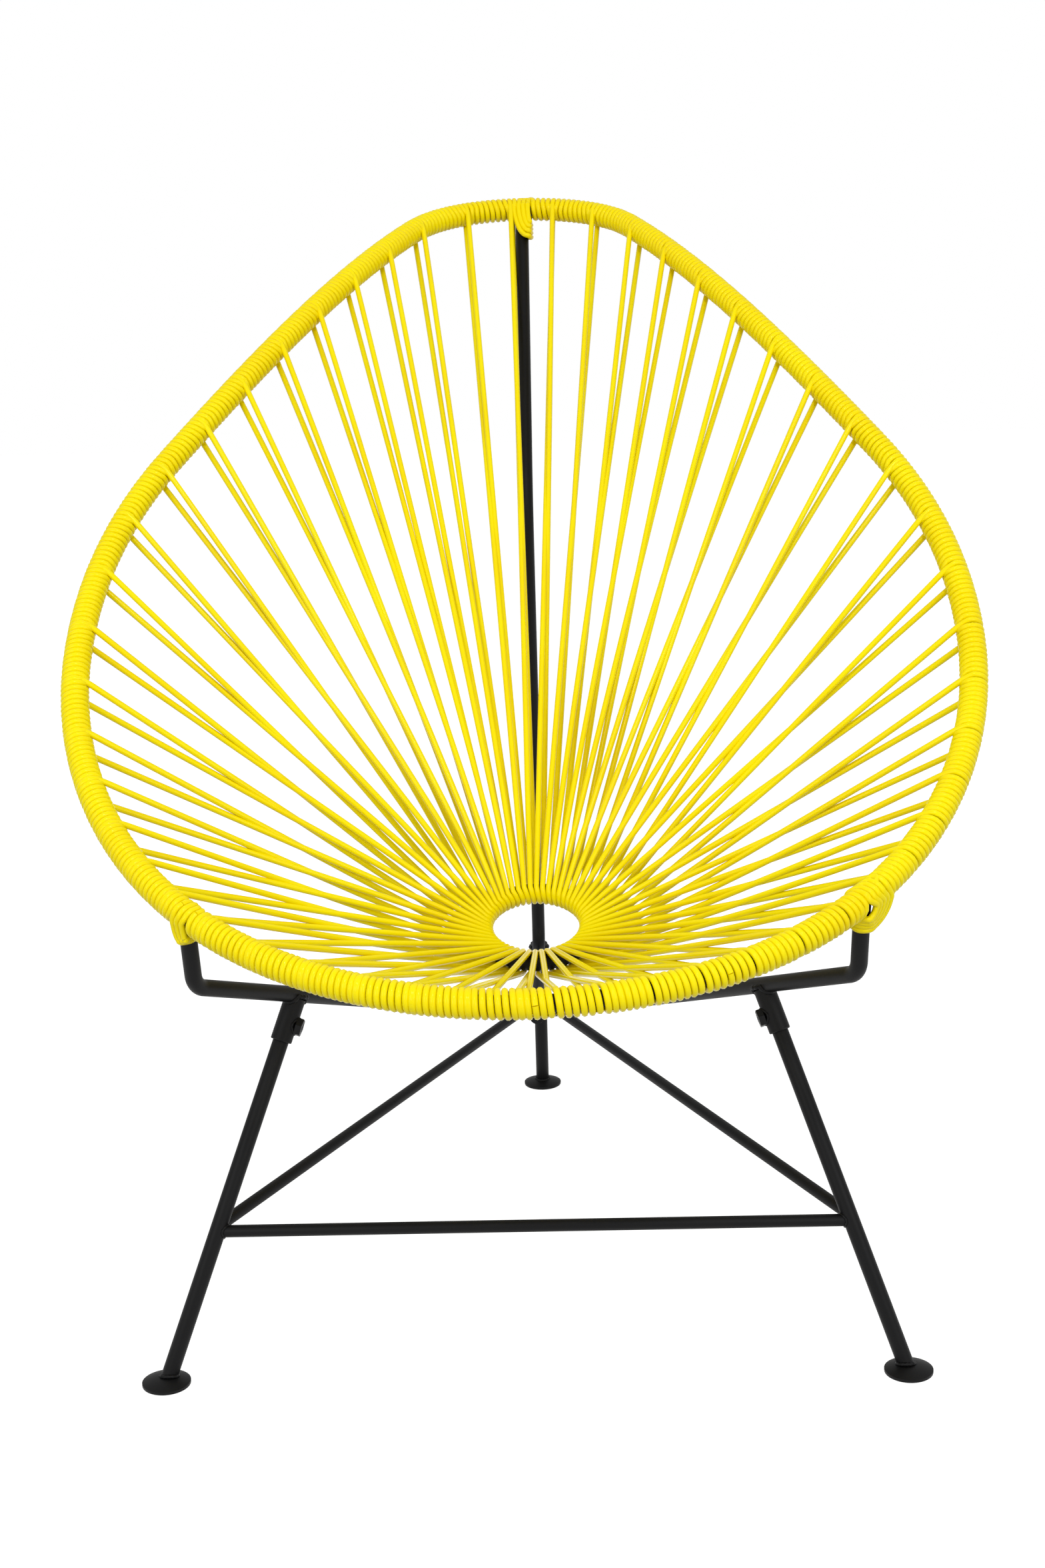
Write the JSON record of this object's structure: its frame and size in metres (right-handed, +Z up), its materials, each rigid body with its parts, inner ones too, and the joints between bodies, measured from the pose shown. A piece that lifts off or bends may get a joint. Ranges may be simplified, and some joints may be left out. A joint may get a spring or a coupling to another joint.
{
  "type": "acapulco chair",
  "caption": "Pear-shaped lounge chair: a cord-wound hoop with cords strung to a small ring in the seat, on a three-legged tubular steel base.",
  "frame": {"origin": "on the floor, at the middle of the chair's width and depth", "axes": "+Z up, +Y towards the back of the chair, +X towards the right of a person facing the chair"},
  "size_m": [0.7326, 0.8649, 0.882],
  "materials": {
    "frame_steel": "satin black powder coat",
    "fixing_steel": "black, a little shinier than the frame",
    "vinyl_cord": "glossy yellow vinyl"
  },
  "bodies": {
    "root": {"seat_hoop": "frame_steel", "spine_tube": "frame_steel", "arm_tube_left": "frame_steel", "arm_tube_right": "frame_steel", "seat_ring": "frame_steel", "front_stretcher": "frame_steel", "rear_brace": "frame_steel", "leg_front_left": "frame_steel", "leg_front_right": "frame_steel", "leg_rear": "frame_steel", "foot_front_left": "frame_steel", "foot_front_right": "frame_steel", "foot_rear": "frame_steel", "socket_front_left": "frame_steel", "socket_front_right": "frame_steel", "socket_rear": "frame_steel", "nut_front_left": "fixing_steel", "nut_front_right": "fixing_steel", "nut_rear": "fixing_steel", "set_screw_front_left": "fixing_steel", "set_screw_front_right": "fixing_steel", "set_screw_rear": "fixing_steel", "seat_cord_left_1": "vinyl_cord", "seat_cord_left_2": "vinyl_cord", "seat_cord_left_3": "vinyl_cord", "seat_cord_left_4": "vinyl_cord", "seat_cord_left_5": "vinyl_cord", "seat_cord_left_6": "vinyl_cord", "seat_cord_left_7": "vinyl_cord", "seat_cord_left_8": "vinyl_cord", "seat_cord_right_1": "vinyl_cord", "seat_cord_right_2": "vinyl_cord", "seat_cord_right_3": "vinyl_cord", "seat_cord_right_4": "vinyl_cord", "seat_cord_right_5": "vinyl_cord", "seat_cord_right_6": "vinyl_cord", "seat_cord_right_7": "vinyl_cord", "seat_cord_right_8": "vinyl_cord"}
  },
  "joints": []
}
